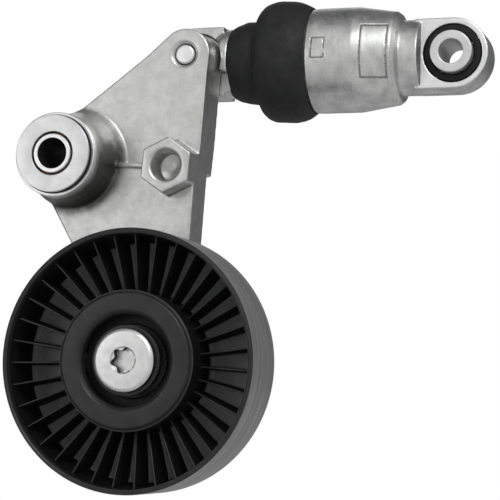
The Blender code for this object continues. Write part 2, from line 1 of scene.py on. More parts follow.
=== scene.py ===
"""Looks for the hydraulic belt tensioner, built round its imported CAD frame.

Lengths are millimetres and are scaled by MM where a mesh is made, except that the lights and
the camera are placed in metres. Outlines and depths that no box can give are written out
with their piece.
"""
import json
import math

import bmesh
import bpy
import numpy as np
from mathutils import Matrix, Vector


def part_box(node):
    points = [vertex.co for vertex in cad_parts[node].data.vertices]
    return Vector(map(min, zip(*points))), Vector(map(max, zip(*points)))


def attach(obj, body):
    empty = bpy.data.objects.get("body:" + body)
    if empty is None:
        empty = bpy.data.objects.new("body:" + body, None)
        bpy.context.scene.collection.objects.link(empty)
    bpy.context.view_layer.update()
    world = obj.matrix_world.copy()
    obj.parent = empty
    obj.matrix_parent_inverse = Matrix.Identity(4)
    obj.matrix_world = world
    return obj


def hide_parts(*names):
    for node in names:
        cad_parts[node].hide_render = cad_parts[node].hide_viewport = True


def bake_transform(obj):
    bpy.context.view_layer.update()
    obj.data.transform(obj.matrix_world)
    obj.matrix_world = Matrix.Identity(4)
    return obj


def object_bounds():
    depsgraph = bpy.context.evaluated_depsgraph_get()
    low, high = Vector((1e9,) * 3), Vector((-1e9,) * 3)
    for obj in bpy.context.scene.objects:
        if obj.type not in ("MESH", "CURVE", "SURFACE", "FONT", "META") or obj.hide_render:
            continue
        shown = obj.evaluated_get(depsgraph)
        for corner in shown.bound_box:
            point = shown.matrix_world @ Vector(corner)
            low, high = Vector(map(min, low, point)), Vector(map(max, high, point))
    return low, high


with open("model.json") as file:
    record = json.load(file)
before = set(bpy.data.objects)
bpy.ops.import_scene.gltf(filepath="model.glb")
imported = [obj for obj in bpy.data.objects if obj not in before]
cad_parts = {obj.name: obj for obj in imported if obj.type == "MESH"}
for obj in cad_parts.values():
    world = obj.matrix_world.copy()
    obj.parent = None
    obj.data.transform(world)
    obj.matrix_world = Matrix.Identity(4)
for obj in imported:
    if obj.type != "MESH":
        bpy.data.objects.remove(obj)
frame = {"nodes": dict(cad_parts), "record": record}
cad_box = [list(corner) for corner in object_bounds()]

MM = 0.001
RECORD = frame["record"]
JOINTS = {joint["name"]: joint for joint in RECORD["behaviour"]["joints"]}
SLOT_OF = {part["node"]: part["material_slot"] for part in RECORD["subparts"]}


def joint_place(name):
    return Vector(JOINTS[name]["pos_m"]) / MM


def span(node, axis):
    """Lowest and highest coordinate of a node along one axis, in millimetres."""
    low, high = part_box(node)
    return low[axis] / MM, high[axis] / MM


Y, Z = 1, 2                    # places in a coordinate triple
PIVOT = (joint_place("arm_pivot").x, joint_place("arm_pivot").z)
PULLEY = (joint_place("pulley_spin").x, joint_place("pulley_spin").z)
PIN = joint_place("damper_swing")
EYE = joint_place("eye_twist")
LUG = (PIN.x, PIN.z)
EYE_DISTANCE = (EYE - PIN).length
DAMPER_TILT = math.atan2(PIN.z - EYE.z, EYE.x - PIN.x)
DAMPER_PLACE = Matrix.Translation(PIN) @ Matrix.Rotation(DAMPER_TILT, 4, "Y")
HERE = Matrix.Identity(4)

SHARP_ANGLE = math.radians(38.0)
GAP = 0.3


# ---- materials ------------------------------------------------------------------------------
# Colour of the shade painted into inner corners.
CREVICE_SHADE_COLOUR = (0.055, 0.053, 0.050)
# Colour of the shade painted low on the pivot boss.
BOSS_SHADE_COLOUR = (0.045, 0.044, 0.042)


def boss_painted_shade(nodes, links, place, broad):
    """How much shade is painted on the pivot boss: strongest low on its side, none on the plates."""
    def chained(operation, first, second):
        made_math = nodes.new("ShaderNodeMath")
        made_math.operation = operation
        for socket, value in zip(made_math.inputs, (first, second)):
            if isinstance(value, float):
                socket.default_value = value
            else:
                links.new(value, socket)
        return made_math.outputs[0]

    def faded(value, low, high):
        made_range = nodes.new("ShaderNodeMapRange")
        made_range.interpolation_type = "SMOOTHSTEP"
        made_range.inputs["From Min"].default_value = low * MM
        made_range.inputs["From Max"].default_value = high * MM
        links.new(value, made_range.inputs["Value"])
        return made_range.outputs["Result"]

    parts = nodes.new("ShaderNodeSeparateXYZ")
    links.new(place.outputs["Object"], parts.inputs[0])
    across, depth, height = parts.outputs
    reach = chained("SQRT", chained("ADD", chained("MULTIPLY", across, across),
                                    chained("MULTIPLY", height, height)), 0.0)
    near_boss = faded(reach, 21.0, 16.6)
    below = faded(chained("SUBTRACT", height, chained("MULTIPLY", across, 0.35)), 12.0, -6.0)
    behind_cup = faded(depth, -37.0, -31.0)
    uneven = chained("ADD", chained("MULTIPLY", broad, 0.9), 0.55)
    share = chained("MULTIPLY", chained("MULTIPLY", near_boss, below),
                    chained("MULTIPLY", behind_cup, uneven))
    return chained("MINIMUM", share, 0.90)


def surface(name, colour, shade, metallic, roughness, spread, grain, depth, patch, stretch=(1, 1, 1),
            speckle=0.0, coat=0.0, specular=0.5, crevice_shade=0.0, shade_zone=None):
    """A procedural finish. Grain and patch are the sizes of the fine and broad variation,
    depth is the height of the fine relief, and speckle darkens the low spots of the grain.
    Painted shade: one argument darkens inner corners, and the last adds a zone of shade of its own to the
    colour."""
    made = bpy.data.materials.new(name)
    made.use_nodes = True
    nodes, links = made.node_tree.nodes, made.node_tree.links
    shader = nodes["Principled BSDF"]
    shader.inputs["Metallic"].default_value = metallic
    shader.inputs["Specular IOR Level"].default_value = specular
    if coat > 0.0:
        shader.inputs["Coat Weight"].default_value = coat
        shader.inputs["Coat Roughness"].default_value = 0.3
    place = nodes.new("ShaderNodeTexCoord")
    scaled = nodes.new("ShaderNodeMapping")
    scaled.inputs["Scale"].default_value = stretch
    links.new(place.outputs["Object"], scaled.inputs["Vector"])

    def noise(size, detail):
        made_noise = nodes.new("ShaderNodeTexNoise")
        made_noise.inputs["Scale"].default_value = 1.0 / (size * MM)
        made_noise.inputs["Detail"].default_value = detail
        links.new(scaled.outputs["Vector"], made_noise.inputs["Vector"])
        return made_noise.outputs["Fac"]

    def ranged(value, low, high, to_low, to_high):
        made_range = nodes.new("ShaderNodeMapRange")
        made_range.inputs["From Min"].default_value = low
        made_range.inputs["From Max"].default_value = high
        made_range.inputs["To Min"].default_value = to_low
        made_range.inputs["To Max"].default_value = to_high
        links.new(value, made_range.inputs["Value"])
        return made_range.outputs["Result"]

    def mixed(share, first, second):
        made_mix = nodes.new("ShaderNodeMix")
        made_mix.data_type = "RGBA"
        links.new(share, made_mix.inputs["Factor"])
        for socket, value in ((made_mix.inputs[6], first), (made_mix.inputs[7], second)):
            if isinstance(value, tuple):
                socket.default_value = (*value, 1.0)
            else:
                links.new(value, socket)
        return made_mix.outputs[2]

    fine = noise(grain, 5.0)
    broad = noise(patch, 3.0)
    tint = mixed(ranged(broad, 0.35, 0.65, 0.0, 1.0), colour, shade)
    if speckle > 0.0:
        dark = tuple(0.45 * part for part in shade)
        tint = mixed(ranged(fine, 0.36, 0.50, speckle, 0.0), tint, dark)
    # Painted shade: concave spots, found by their pointiness, are darkened as if shaded.
    if crevice_shade > 0.0:
        hollow = nodes.new("ShaderNodeNewGeometry").outputs["Pointiness"]
        tint = mixed(ranged(hollow, 0.40, 0.488, crevice_shade, 0.0), tint, CREVICE_SHADE_COLOUR)
    # Painted shade: the zone that the given mask picks out is darkened.
    if shade_zone is not None:
        tint = mixed(shade_zone(nodes, links, place, broad), tint, BOSS_SHADE_COLOUR)
    links.new(tint, shader.inputs["Base Color"])
    middle = noise(0.35 * patch, 4.0)
    links.new(ranged(middle, 0.3, 0.7, roughness - spread, roughness + spread), shader.inputs["Roughness"])
    relief = nodes.new("ShaderNodeBump")
    relief.inputs["Strength"].default_value = 1.0
    relief.inputs["Distance"].default_value = depth * MM
    links.new(fine, relief.inputs["Height"])
    links.new(relief.outputs["Normal"], shader.inputs["Normal"])
    return made


# Both cast skins get painted shade in their inner corners, and the arm's skin also gets it low on the pivot
# boss.
CAST = surface("cast_aluminium_skin", (0.59, 0.59, 0.585), (0.50, 0.50, 0.495),
               metallic=0.92, roughness=0.38, spread=0.06, grain=0.42, depth=0.026, patch=4.0,
               speckle=0.18, crevice_shade=0.75, shade_zone=boss_painted_shade)
CAST_DAMPER = surface("cast_damper_skin", (0.68, 0.68, 0.67), (0.49, 0.50, 0.49),
                      metallic=0.94, roughness=0.34, spread=0.08, grain=0.6, depth=0.022, patch=5.0,
                      speckle=0.18, stretch=(1, 1, 0.45), crevice_shade=0.80)
# A darker copy of the cast skin: painted shade on the step walls of the eye's flats and in the sunk frame
# grooves. Its higher roughness is its own.
CAST_ROUGH_SHADED = surface("cast_rough_wall_painted_shade", (0.30, 0.30, 0.295), (0.18, 0.18, 0.178),
                     metallic=0.80, roughness=0.50, spread=0.08, grain=0.5, depth=0.040, patch=2.5,
                     speckle=0.4)
MACHINED = surface("machined_face", (0.80, 0.80, 0.80), (0.72, 0.72, 0.72),
                   metallic=0.80, roughness=0.36, spread=0.05, grain=0.5, depth=0.004, patch=3.0)
WASHER = surface("ground_washer", (0.68, 0.68, 0.68), (0.60, 0.60, 0.605),
                 metallic=0.85, roughness=0.40, spread=0.04, grain=0.6, depth=0.0015, patch=5.0)
POLISHED = surface("polished_steel", (0.78, 0.78, 0.78), (0.66, 0.66, 0.66),
                   metallic=0.92, roughness=0.33, spread=0.05, grain=0.5, depth=0.002, patch=4.0,
                   stretch=(1, 0.25, 1))
BEARING = surface("bearing_steel", (0.52, 0.52, 0.53), (0.42, 0.42, 0.43),
                  metallic=1.0, roughness=0.26, spread=0.06, grain=0.4, depth=0.003, patch=5.0)
ZINC = surface("bright_zinc", (0.70, 0.70, 0.695), (0.60, 0.605, 0.60),
               metallic=0.85, roughness=0.38, spread=0.06, grain=0.35, depth=0.004, patch=2.6)
NYLON = surface("black_moulding", (0.017, 0.017, 0.0175), (0.024, 0.024, 0.025),
                metallic=0.0, roughness=0.38, spread=0.06, grain=0.5, depth=0.010, patch=6.0,
                specular=0.28)
# The black moulding darkened as painted shade, for the rib sides and the walls between them.
RIB_SIDE_SHADE = surface("rib_side_painted_shade", (0.0055, 0.0055, 0.0058), (0.0090, 0.0090, 0.0094),
              metallic=0.0, roughness=0.46, spread=0.06, grain=0.5, depth=0.008, patch=5.0,
              specular=0.16)
# The black moulding made lighter as painted light, for the deep web floor between the ribs.
WEB_FLOOR_LIGHT = surface("web_floor_painted_light", (0.150, 0.154, 0.152), (0.195, 0.199, 0.197),
              metallic=0.0, roughness=0.36, spread=0.06, grain=0.5, depth=0.008, patch=5.0,
              specular=0.40)
# The black moulding's belt face, made lighter as a painted sheen. Its fine circumferential grain and coat
# are its own.
BELT_FACE_SHEEN = surface("belt_face_painted_sheen", (0.125, 0.125, 0.126), (0.215, 0.215, 0.216),
              metallic=0.0, roughness=0.42, spread=0.06, grain=0.9, depth=0.010, patch=2.2,
              stretch=(0.06, 1, 0.06), coat=0.20)
RUBBER = surface("boot_rubber", (0.0115, 0.0118, 0.012), (0.018, 0.0183, 0.0185),
                 metallic=0.0, roughness=0.62, spread=0.07, grain=0.45, depth=0.022, patch=6.0,
                 specular=0.26)
SEAL = surface("seal_rubber", (0.006, 0.006, 0.0063), (0.011, 0.011, 0.0115),
               metallic=0.0, roughness=0.52, spread=0.08, grain=0.5, depth=0.020, patch=2.0,
               specular=0.22)
BRONZE = surface("sintered_bronze", (0.42, 0.27, 0.13), (0.33, 0.21, 0.10),
                 metallic=0.9, roughness=0.45, spread=0.07, grain=0.3, depth=0.015, patch=3.0,
                 speckle=0.4)
NATURAL = surface("natural_nylon", (0.66, 0.61, 0.47), (0.58, 0.53, 0.40),
                  metallic=0.0, roughness=0.48, spread=0.05, grain=0.4, depth=0.008, patch=4.0)
BLACK_OXIDE = surface("black_oxide_steel", (0.008, 0.008, 0.0085), (0.014, 0.014, 0.0145),
                      metallic=0.1, roughness=0.50, spread=0.07, grain=0.4, depth=0.006, patch=3.0,
                      specular=0.22)
# Near-black painted shade for the pivot sleeve's bore, the flat sides of the bearing rings and the sides of
# the bolt's recess.
BORE_SHADE = surface("bore_painted_shade", (0.012, 0.013, 0.013), (0.020, 0.021, 0.020),
                    metallic=0.3, roughness=0.55, spread=0.08, grain=0.4, depth=0.006, patch=3.0)
OF_SLOT = {"cast_aluminium": CAST, "black_oxide": BLACK_OXIDE, "polished_steel": POLISHED,
           "bearing_steel": BEARING, "zinc_plate": ZINC, "black_nylon": NYLON, "black_rubber": SEAL,
           "sintered_bronze": BRONZE, "cage_nylon": NATURAL}


# ---- making pieces ----------------------------------------------------------------------------
def new_object(name, shape, place=HERE):
    """A mesh in millimetres, placed by a matrix and scaled to metres."""
    bmesh.ops.recalc_face_normals(shape, faces=shape.faces)
    shape.transform(Matrix.Scale(MM, 4) @ place)
    mesh = bpy.data.meshes.new(name)
    shape.to_mesh(mesh)
    shape.free()
    made = bpy.data.objects.new(name, mesh)
    bpy.context.scene.collection.objects.link(made)
    return made


def apply_modifiers(target):
    bpy.context.view_layer.update()
    evaluated = target.evaluated_get(bpy.context.evaluated_depsgraph_get())
    result = bpy.data.meshes.new_from_object(evaluated)
    target.modifiers.clear()
    target.data = result


def combine_object(target, tool, operation):
    """Join or cut the target with another object, which is used up."""
    modifier = target.modifiers.new("combine", "BOOLEAN")
    modifier.operation = operation
    modifier.solver = "EXACT"
    modifier.object = tool
    apply_modifiers(target)
    bpy.data.objects.remove(tool, do_unlink=True)


def combine(target, tools, operation, place=HERE):
    for shape in tools:
        combine_object(target, new_object("tool", shape, place), operation)


def as_shape(made):
    """Turn an object back into a mesh in millimetres, and drop the object."""
    shape = bmesh.new()
    shape.from_mesh(made.data)
    shape.transform(Matrix.Scale(1.0 / MM, 4))
    bpy.data.objects.remove(made, do_unlink=True)
    return shape


def soften(target, voxel, rounds):
    """Rebuild the casting on a fine grid and relax it, which rounds its edges and corners."""
    remesh = target.modifiers.new("grid", "REMESH")
    remesh.mode = "VOXEL"
    remesh.voxel_size = voxel * MM
    relax = target.modifiers.new("relax", "SMOOTH")
    relax.factor = 0.5
    relax.iterations = rounds
    apply_modifiers(target)


def finish_piece(made, node, body, materials, chooser=None, smooth_all=False):
    """Give the piece its materials, put it on its body and let it stand for its CAD node."""
    mesh = made.data
    mesh.materials.clear()
    for one in materials:
        mesh.materials.append(one)
    picks = np.zeros(len(mesh.polygons), np.int32)
    if chooser is not None:
        for face in mesh.polygons:
            picks[face.index] = chooser(face.center / MM, face.normal)
    mesh.polygons.foreach_set("material_index", picks)
    mesh.shade_smooth()
    if not smooth_all:
        mesh.set_sharp_from_angle(angle=SHARP_ANGLE)
    made.name = node + "_look"
    if body is not None:
        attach(made, body)
    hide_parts(node)
    return made


def rounded(profile, radius, steps=4):
    """The closed outline with every corner that is off the axis turned into a small arc."""
    points = []
    count = len(profile)
    for index, corner in enumerate(profile):
        before = Vector(profile[index - 1])
        after = Vector(profile[(index + 1) % count])
        here = Vector(corner)
        back, ahead = before - here, after - here
        if here.y <= 0.0 or back.length < 1e-6 or ahead.length < 1e-6:
            points.append(tuple(here))
            continue
        reach = min(radius, 0.42 * back.length, 0.42 * ahead.length)
        first, last = here + back.normalized() * reach, here + ahead.normalized() * reach
        for step in range(steps + 1):
            share = step / steps
            points.append(tuple(first * (1 - share) ** 2 + here * 2 * share * (1 - share)
                                + last * share ** 2))
    return points


def turned(profile, segments=96, axis="Y", centre=(0.0, 0.0)):
    """A body of revolution from (along, radius) points."""
    made = bmesh.new()
    rings = []
    for along, radius in profile:
        ring = []
        for step in range(1 if radius <= 0.0 else segments):
            angle = 2.0 * math.pi * step / segments
            across, up = radius * math.cos(angle), radius * math.sin(angle)
            point = (centre[0] + across, along, centre[1] + up) if axis == "Y" else (along, across, up)
            ring.append(made.verts.new(point))
        rings.append(ring)
    for index, ring in enumerate(rings):
        following = rings[(index + 1) % len(rings)]
        for step in range(segments):
            after = (step + 1) % segments
            corners = list(dict.fromkeys([
                ring[step % len(ring)], ring[after % len(ring)],
                following[after % len(following)], following[step % len(following)]]))
            if len(corners) > 2:
                made.faces.new(corners)
    return made


def prism(outline, front, rear):
    made = bmesh.new()
    near = [made.verts.new((x, front, z)) for x, z in outline]
    far = [made.verts.new((x, rear, z)) for x, z in outline]
    made.faces.new(near)
    made.faces.new(far)
    for index in range(len(outline)):
        after = (index + 1) % len(outline)
        made.faces.new((near[index], near[after], far[after], far[index]))
    return made


def arc(centre, radius, start, end, steps):
    angles = [math.radians(start + (end - start) * step / steps) for step in range(steps + 1)]
    return [(centre[0] + radius * math.cos(a), centre[1] + radius * math.sin(a)) for a in angles]


def disc(radius, front, rear, centre=(0.0, 0.0), axis="Y", segments=96):
    return turned([(front, 0.0), (front, radius), (rear, radius), (rear, 0.0)], segments, axis, centre)


def turned_piece(node, body, profile, edge, materials, axis="Y", centre=(0.0, 0.0), place=HERE,
                 segments=96, chooser=None):
    made = new_object(node, turned(rounded(profile, edge), segments, axis, centre), place)
    return finish_piece(made, node, body, materials, chooser)


def ring_piece(node, body, inner, edge, finish, centre):
    """A washer or sleeve whose length and outer radius are those of its CAD node."""
    front, rear = span(node, Y)
    low, high = span(node, Z)
    outer = 0.5 * (high - low)
    profile = [(front, inner), (front, outer), (rear, outer), (rear, inner)]
    return turned_piece(node, body, profile, edge, [finish], centre=centre)


# ---- pivot -----------------------------------------------------------------------------------
SLEEVE_BORE, WASHER_BORE, SEAL_BORE, CUP_BORE = 5.2, 7.5, 7.5, 9.9
sleeve_front, sleeve_rear = span("pivot_sleeve", Y)
SLEEVE_OUTER = 6.7
# The sleeve's bore takes painted shade.
turned_piece("pivot_sleeve", "engine_side",
             [(sleeve_front, SLEEVE_BORE), (sleeve_front, SLEEVE_OUTER), (sleeve_rear, SLEEVE_OUTER),
              (sleeve_rear, SLEEVE_BORE)], 0.35, [MACHINED, BORE_SHADE], centre=PIVOT,
             chooser=lambda centre, normal: int(math.hypot(centre.x, centre.z) < SLEEVE_BORE + 0.1))
ring_piece("front_thrust_washer", "engine_side", WASHER_BORE, 0.30, WASHER, PIVOT)
ring_piece("rear_thrust_washer", "engine_side", WASHER_BORE, 0.25, WASHER, PIVOT)
ring_piece("front_dust_seal", "arm", SEAL_BORE, 0.25, SEAL, PIVOT)
ring_piece("rear_dust_seal", "arm", SEAL_BORE, 0.25, SEAL, PIVOT)
ring_piece("front_seal_cup", "arm", CUP_BORE, 0.35, POLISHED, PIVOT)

# ---- arm -------------------------------------------------------------------------------------
BOSS_FRONT = span("front_seal_cup", Y)[1] + GAP
UPPER_FRONT, UPPER_REAR = -18.4, span("tensioner_arm", Y)[1]
LOWER_FRONT, LOWER_REAR = -22.0, -8.5
BOSS_RADIUS, BOSS_BASE, BOSS_FOOT = 14.6, 16.65, 19.0
HEX_CENTRE, HEX_FLATS, HEX_FRONT, HEX_TURN = (37.0, -4.1), 17.0, -29.5, math.radians(83.5)
HEX_HOLE, HEX_DEPTH = 5.1, 9.0
WALL = 4.2
ARM_VOXEL, ARM_ROUNDS = 0.38, 7
PULLEY_BOSS = 14.0
PULLEY_BOSS_FRONT = span("pulley_spacer", Y)[1] + GAP
BOLT_BORE = 5.2


def make_arm():
    lug = arc(LUG, 9.0, 126.0, -3.0, 40)
    upper = [(-6.0, 13.1), (16.3, 29.0), (27.0, 36.8)] + lug + [
        (48.3, 30.0), (46.2, 6.0), (44.9, -5.2), (-7.5, -10.5)]
    lower = [(-12.5, -5.8), (-8.6, -13.2), (-0.5, -28.3), (18.4, -63.5), (30.0, -80.0),
             (39.4, -73.0), (43.3, -28.2), (45.3, -4.0), (43.0, -2.3), (10.0, -1.6)]
    boss = [(BOSS_FRONT, 0.0), (BOSS_FRONT, BOSS_RADIUS), (-28.0, 15.2), (-23.6, 16.1),
            (-22.0, BOSS_BASE), (UPPER_REAR, BOSS_BASE), (UPPER_REAR, 0.0)]
    foot = [(-25.0, 0.0), (-25.0, 15.7), (-23.0, 16.4), (-21.0, 17.1), (-19.6, 18.0),
            (-18.7, BOSS_FOOT), (-17.0, BOSS_FOOT), (-17.0, 0.0)]
    both_plates = [(-6.0, 13.1), (16.3, 29.0), (48.0, 30.0), (45.0, -40.0), (-0.5, -28.3),
                   (-8.6, -13.2), (-12.5, -5.8)]
    foot_piece = new_object("foot", turned(foot, 128))
    combine(foot_piece, [prism(both_plates, -26.0, -16.0)], "INTERSECT")
    corners = [(HEX_CENTRE[0] + HEX_FLATS / math.sqrt(3.0) * math.cos(HEX_TURN + k * math.pi / 3.0),
                HEX_CENTRE[1] + HEX_FLATS / math.sqrt(3.0) * math.sin(HEX_TURN + k * math.pi / 3.0))
               for k in range(6)]
    rib = [(13.0, -1.2), (13.0, -2.8), (29.0, -3.8), (29.0, -2.2)]
    arm = new_object("arm", prism(upper, UPPER_FRONT, UPPER_REAR))
    combine(arm, [
        prism(lower, LOWER_FRONT, LOWER_REAR),
        turned(boss, 128),
        as_shape(foot_piece),
        disc(PULLEY_BOSS, PULLEY_BOSS_FRONT, LOWER_REAR, PULLEY),
        prism(corners, HEX_FRONT, LOWER_FRONT + 5.0),
        prism(rib, LOWER_FRONT - 0.9, LOWER_FRONT + 2.0),
    ], "UNION")
    beyond = UPPER_REAR + 5.0
    upper_floor, lower_floor = UPPER_FRONT + WALL, LOWER_FRONT + WALL
    hex_hole = [(HEX_FRONT - 2.0, 0.0), (HEX_FRONT - 2.0, HEX_HOLE + 2.9), (HEX_FRONT + 0.9, HEX_HOLE),
                (HEX_FRONT + HEX_DEPTH, HEX_HOLE), (HEX_FRONT + HEX_DEPTH + 2.0, 0.0)]
    pin_hole = [(UPPER_FRONT - 2.0, 0.0), (UPPER_FRONT - 2.0, 6.8), (UPPER_FRONT + 1.1, 3.7),
                (beyond, 3.7), (beyond, 0.0)]
    combine(arm, [
        prism([(13.0, 17.6), (27.8, 31.6), (30.6, 25.6), (36.0, 22.9), (43.9, 22.6), (43.2, 14.5),
               (19.0, 10.5)], upper_floor, beyond),
        prism([(19.8, 7.4), (42.7, 11.3), (41.6, -1.5), (19.8, -1.5)], upper_floor, beyond),
        prism([(3.2, -20.5), (12.8, -15.8), (22.3, -53.0), (20.6, -54.6)], lower_floor, beyond),
        prism([(16.2, -15.2), (20.2, -7.2), (41.2, -7.2), (37.9, -51.0), (25.6, -51.0)],
              lower_floor, beyond),
        disc(9.8, BOSS_FRONT - 5.0, beyond),
        turned(hex_hole, 96, centre=HEX_CENTRE),
        turned(pin_hole, 96, centre=LUG),
        disc(BOLT_BORE, PULLEY_BOSS_FRONT - 5.0, LOWER_REAR + 5.0, PULLEY),
    ], "DIFFERENCE")
    soften(arm, ARM_VOXEL, ARM_ROUNDS)
    return finish_piece(arm, "tensioner_arm", "arm", [CAST], smooth_all=True)


make_arm()

# ---- clevis pin ------------------------------------------------------------------------------
pin_front, pin_rear = span("clevis_pin", Y)
turned_piece("clevis_pin", "arm",
             [(pin_front, 0.0), (pin_front, 2.9), (pin_front + 0.5, 3.4), (pin_rear - 1.8, 3.4),
              (pin_rear - 1.8, 5.2), (pin_rear, 5.2), (pin_rear, 0.0)],
             0.35, [MACHINED], centre=LUG)

# ---- pulley ----------------------------------------------------------------------------------
HUB_PROUD = 0.4                # the hub's lip stands this far in front of the rim
PULLEY_FRONT, PULLEY_REAR = span("pulley", Y)[0] + HUB_PROUD, span("pulley", Y)[1]
PULLEY_RADIUS = 0.5 * (span("pulley", Z)[1] - span("pulley", Z)[0])
RIM_INNER, HUB = 41.6, 22.7
BEARING_OUTER = 20.0
WEB_DEPTH, WEB_THICKNESS = 17.7, 2.7
WALL_START = 1.2               # depth at which the walls of the hub and the rim begin
RIB_COUNT = 35
RIB_TOP_AT_HUB, RIB_TOP_AT_RIM = 9.0, 4.3   # depths behind the rim's front edge
WEB_START = 14.0               # forward faces deeper than this are the web between the ribs
# Offsets from a rib's middle plane; a negative lift lowers the rib's top, a positive one
# raises the web's floor, so that both meet in small rounds.
RIB_COLUMNS = [(0.10, -0.0), (0.22, -0.05), (0.32, -0.20), (0.37, 0.60), (0.50, 0.25), (0.75, 0.06),
               (1.20, 0.001)]


def make_pulley():
    width = PULLEY_REAR - PULLEY_FRONT
    seat, seat_front = BEARING_OUTER + GAP, span("bearing_outer_ring", Y)[0] - GAP - PULLEY_FRONT
    web_rear = WEB_DEPTH + WEB_THICKNESS
    outside = rounded([
        (0.3, RIM_INNER + 0.35), (0.0, RIM_INNER + 0.75), (0.0, PULLEY_RADIUS - 0.9),
        (0.9, PULLEY_RADIUS), (width - 0.7, PULLEY_RADIUS), (width, PULLEY_RADIUS - 0.7),
        (width, RIM_INNER - 0.2), (width - 2.0, RIM_INNER - 0.6), (web_rear, 38.0), (web_rear, seat),
        (seat_front, seat), (seat_front, 17.0), (3.8, 15.2), (1.0, 15.2), (-HUB_PROUD, 16.6),
        (-0.3, HUB - 0.8), (WALL_START, HUB)], 0.45, 3)

    # The hub's wall, the web's floor and the rim's inner wall.
    web = [(1.9, 22.74), (3.5, 22.79), (6.0, 22.88), (9.0, 22.99), (12.0, 23.10), (15.0, 23.22),
           (16.2, 23.36), (17.1, 23.7), (17.55, 24.2), (WEB_DEPTH, 24.9), (WEB_DEPTH, 27.0),
           (WEB_DEPTH, 30.0), (WEB_DEPTH, 33.0), (WEB_DEPTH, 36.0), (WEB_DEPTH, 38.2), (17.5, 39.1),
           (17.0, 39.8), (16.2, 40.4), (15.0, 40.75), (12.0, 40.95), (9.0, 41.13), (6.0, 41.33),
           (4.6, 41.42), (3.4, 41.5), (2.4, 41.56), (WALL_START, RIM_INNER)]
    profile = outside + web
    is_web = [False] * len(outside) + [True] * len(web)
    sector = 2.0 * math.pi / RIB_COUNT
    columns = [(-offset, lift) for offset, lift in reversed(RIB_COLUMNS)] + list(RIB_COLUMNS)
    between = 4
    made = bmesh.new()
    rows = []
    for (depth, radius), on_web in zip(profile, is_web):
        row = []
        rise = (radius - HUB) / (RIM_INNER - HUB)
        top = RIB_TOP_AT_HUB + (RIB_TOP_AT_RIM - RIB_TOP_AT_HUB) * rise
        for index in range(RIB_COUNT):
            middle = math.pi + index * sector
            stops = [(middle + offset / radius, lift) for offset, lift in columns]
            start, end = stops[-1][0], middle + sector - columns[-1][0] / radius
            stops += [(start + (end - start) * (k + 1) / (between + 1), 0.001) for k in range(between)]
            for angle, lift in stops:
                here = depth
                if on_web and lift <= 0.0:
                    here = min(depth, top - lift)
                elif on_web and depth > top + 2.0:
                    here = depth - lift
                row.append(made.verts.new((PULLEY[0] + radius * math.cos(angle), PULLEY_FRONT + here,
                                           PULLEY[1] + radius * math.sin(angle))))
        rows.append(row)
    for index, row in enumerate(rows):
        following = rows[(index + 1) % len(rows)]
        for step in range(len(row)):
            after = (step + 1) % len(row)
            made.faces.new((row[step], row[after], following[after], following[step]))
    pulley = new_object("pulley", made)

    # Painted light and shade on the black moulding: the belt face takes a painted sheen, the rib sides and
    # the walls between them take painted shade, and the deep web floor takes painted light.
    def chooser(centre, normal):
        reach = math.hypot(centre.x - PULLEY[0], centre.z - PULLEY[1])
        depth = centre.y - PULLEY_FRONT
        if reach > PULLEY_RADIUS - 1.0 and abs(normal.y) < 0.6:
            return 1
        if not HUB < reach < RIM_INNER or depth < 1.8 or normal.y > 0.3:
            return 0
        if normal.y < -0.6:
            return 3 if depth > WEB_START else 0
        return 2

    return finish_piece(pulley, "pulley", "idler_pulley", [NYLON, BELT_FACE_SHEEN, RIB_SIDE_SHADE, WEB_FLOOR_LIGHT], chooser)


make_pulley()

# ---- bearing, bolt and spacers ---------------------------------------------------------------
LAND_OUTER, LAND_INNER, BEARING_BORE = 16.6, 12.0, 8.5
bearing_front, bearing_rear = span("bearing_outer_ring", Y)
BALL_GROOVE = 3.67
bearing_middle = 0.5 * (bearing_front + bearing_rear)
pitch = 0.5 * (LAND_OUTER + LAND_INNER)


def race(land, back, sign):
    opening = math.acos(abs(land - pitch) / BALL_GROOVE)
    points = [(bearing_front, land), (bearing_front, back), (bearing_rear, back), (bearing_rear, land)]
    for step in range(13):
        angle = opening - 2.0 * opening * step / 12.0
        points.append((bearing_middle + BALL_GROOVE * math.sin(angle),
                       pitch + sign * BALL_GROOVE * math.cos(angle)))
    return points


# The flat sides of the bearing rings take painted shade.
for node, body, profile in (
        ("bearing_outer_ring", "idler_pulley", race(LAND_OUTER, BEARING_OUTER, 1.0)),
        ("bearing_inner_ring", "arm", race(LAND_INNER, BEARING_BORE, -1.0))):
    piece = new_object(node, turned(profile, 96, centre=PULLEY))
    finish_piece(piece, node, body, [BEARING, BORE_SHADE], lambda centre, normal: int(abs(normal.y) > 0.9))
ring_piece("bearing_front_seal", "idler_pulley", LAND_INNER + GAP, 0.2, SEAL, PULLEY)
ring_piece("bearing_rear_seal", "idler_pulley", LAND_INNER + GAP, 0.2, SEAL, PULLEY)
ring_piece("bolt_dust_washer", "arm", BOLT_BORE, 0.3, NYLON, PULLEY)
ring_piece("pulley_spacer", "arm", BOLT_BORE, 0.3, BLACK_OXIDE, PULLEY)

flange_front, bush_rear = span("bearing_bush", Y)
SPACER_RADIUS = 10.6
turned_piece("bearing_bush", "arm",
             [(flange_front, BOLT_BORE), (flange_front, SPACER_RADIUS), (bearing_front - GAP, SPACER_RADIUS),
              (bearing_front - GAP, BEARING_BORE - GAP), (bush_rear, BEARING_BORE - GAP),
              (bush_rear, BOLT_BORE)],
             0.3, [BLACK_OXIDE], centre=PULLEY)


HEAD_RADIUS, HEAD_THICKNESS, SHANK_RADIUS = 10.5, 2.4, 4.9
RECESS_DEPTH = 3.4
LOBE_RADIUS, LOBE_HEIGHT, LOBE_TURN, LOBE_STEPS = 3.85, 0.55, 0.2, 120


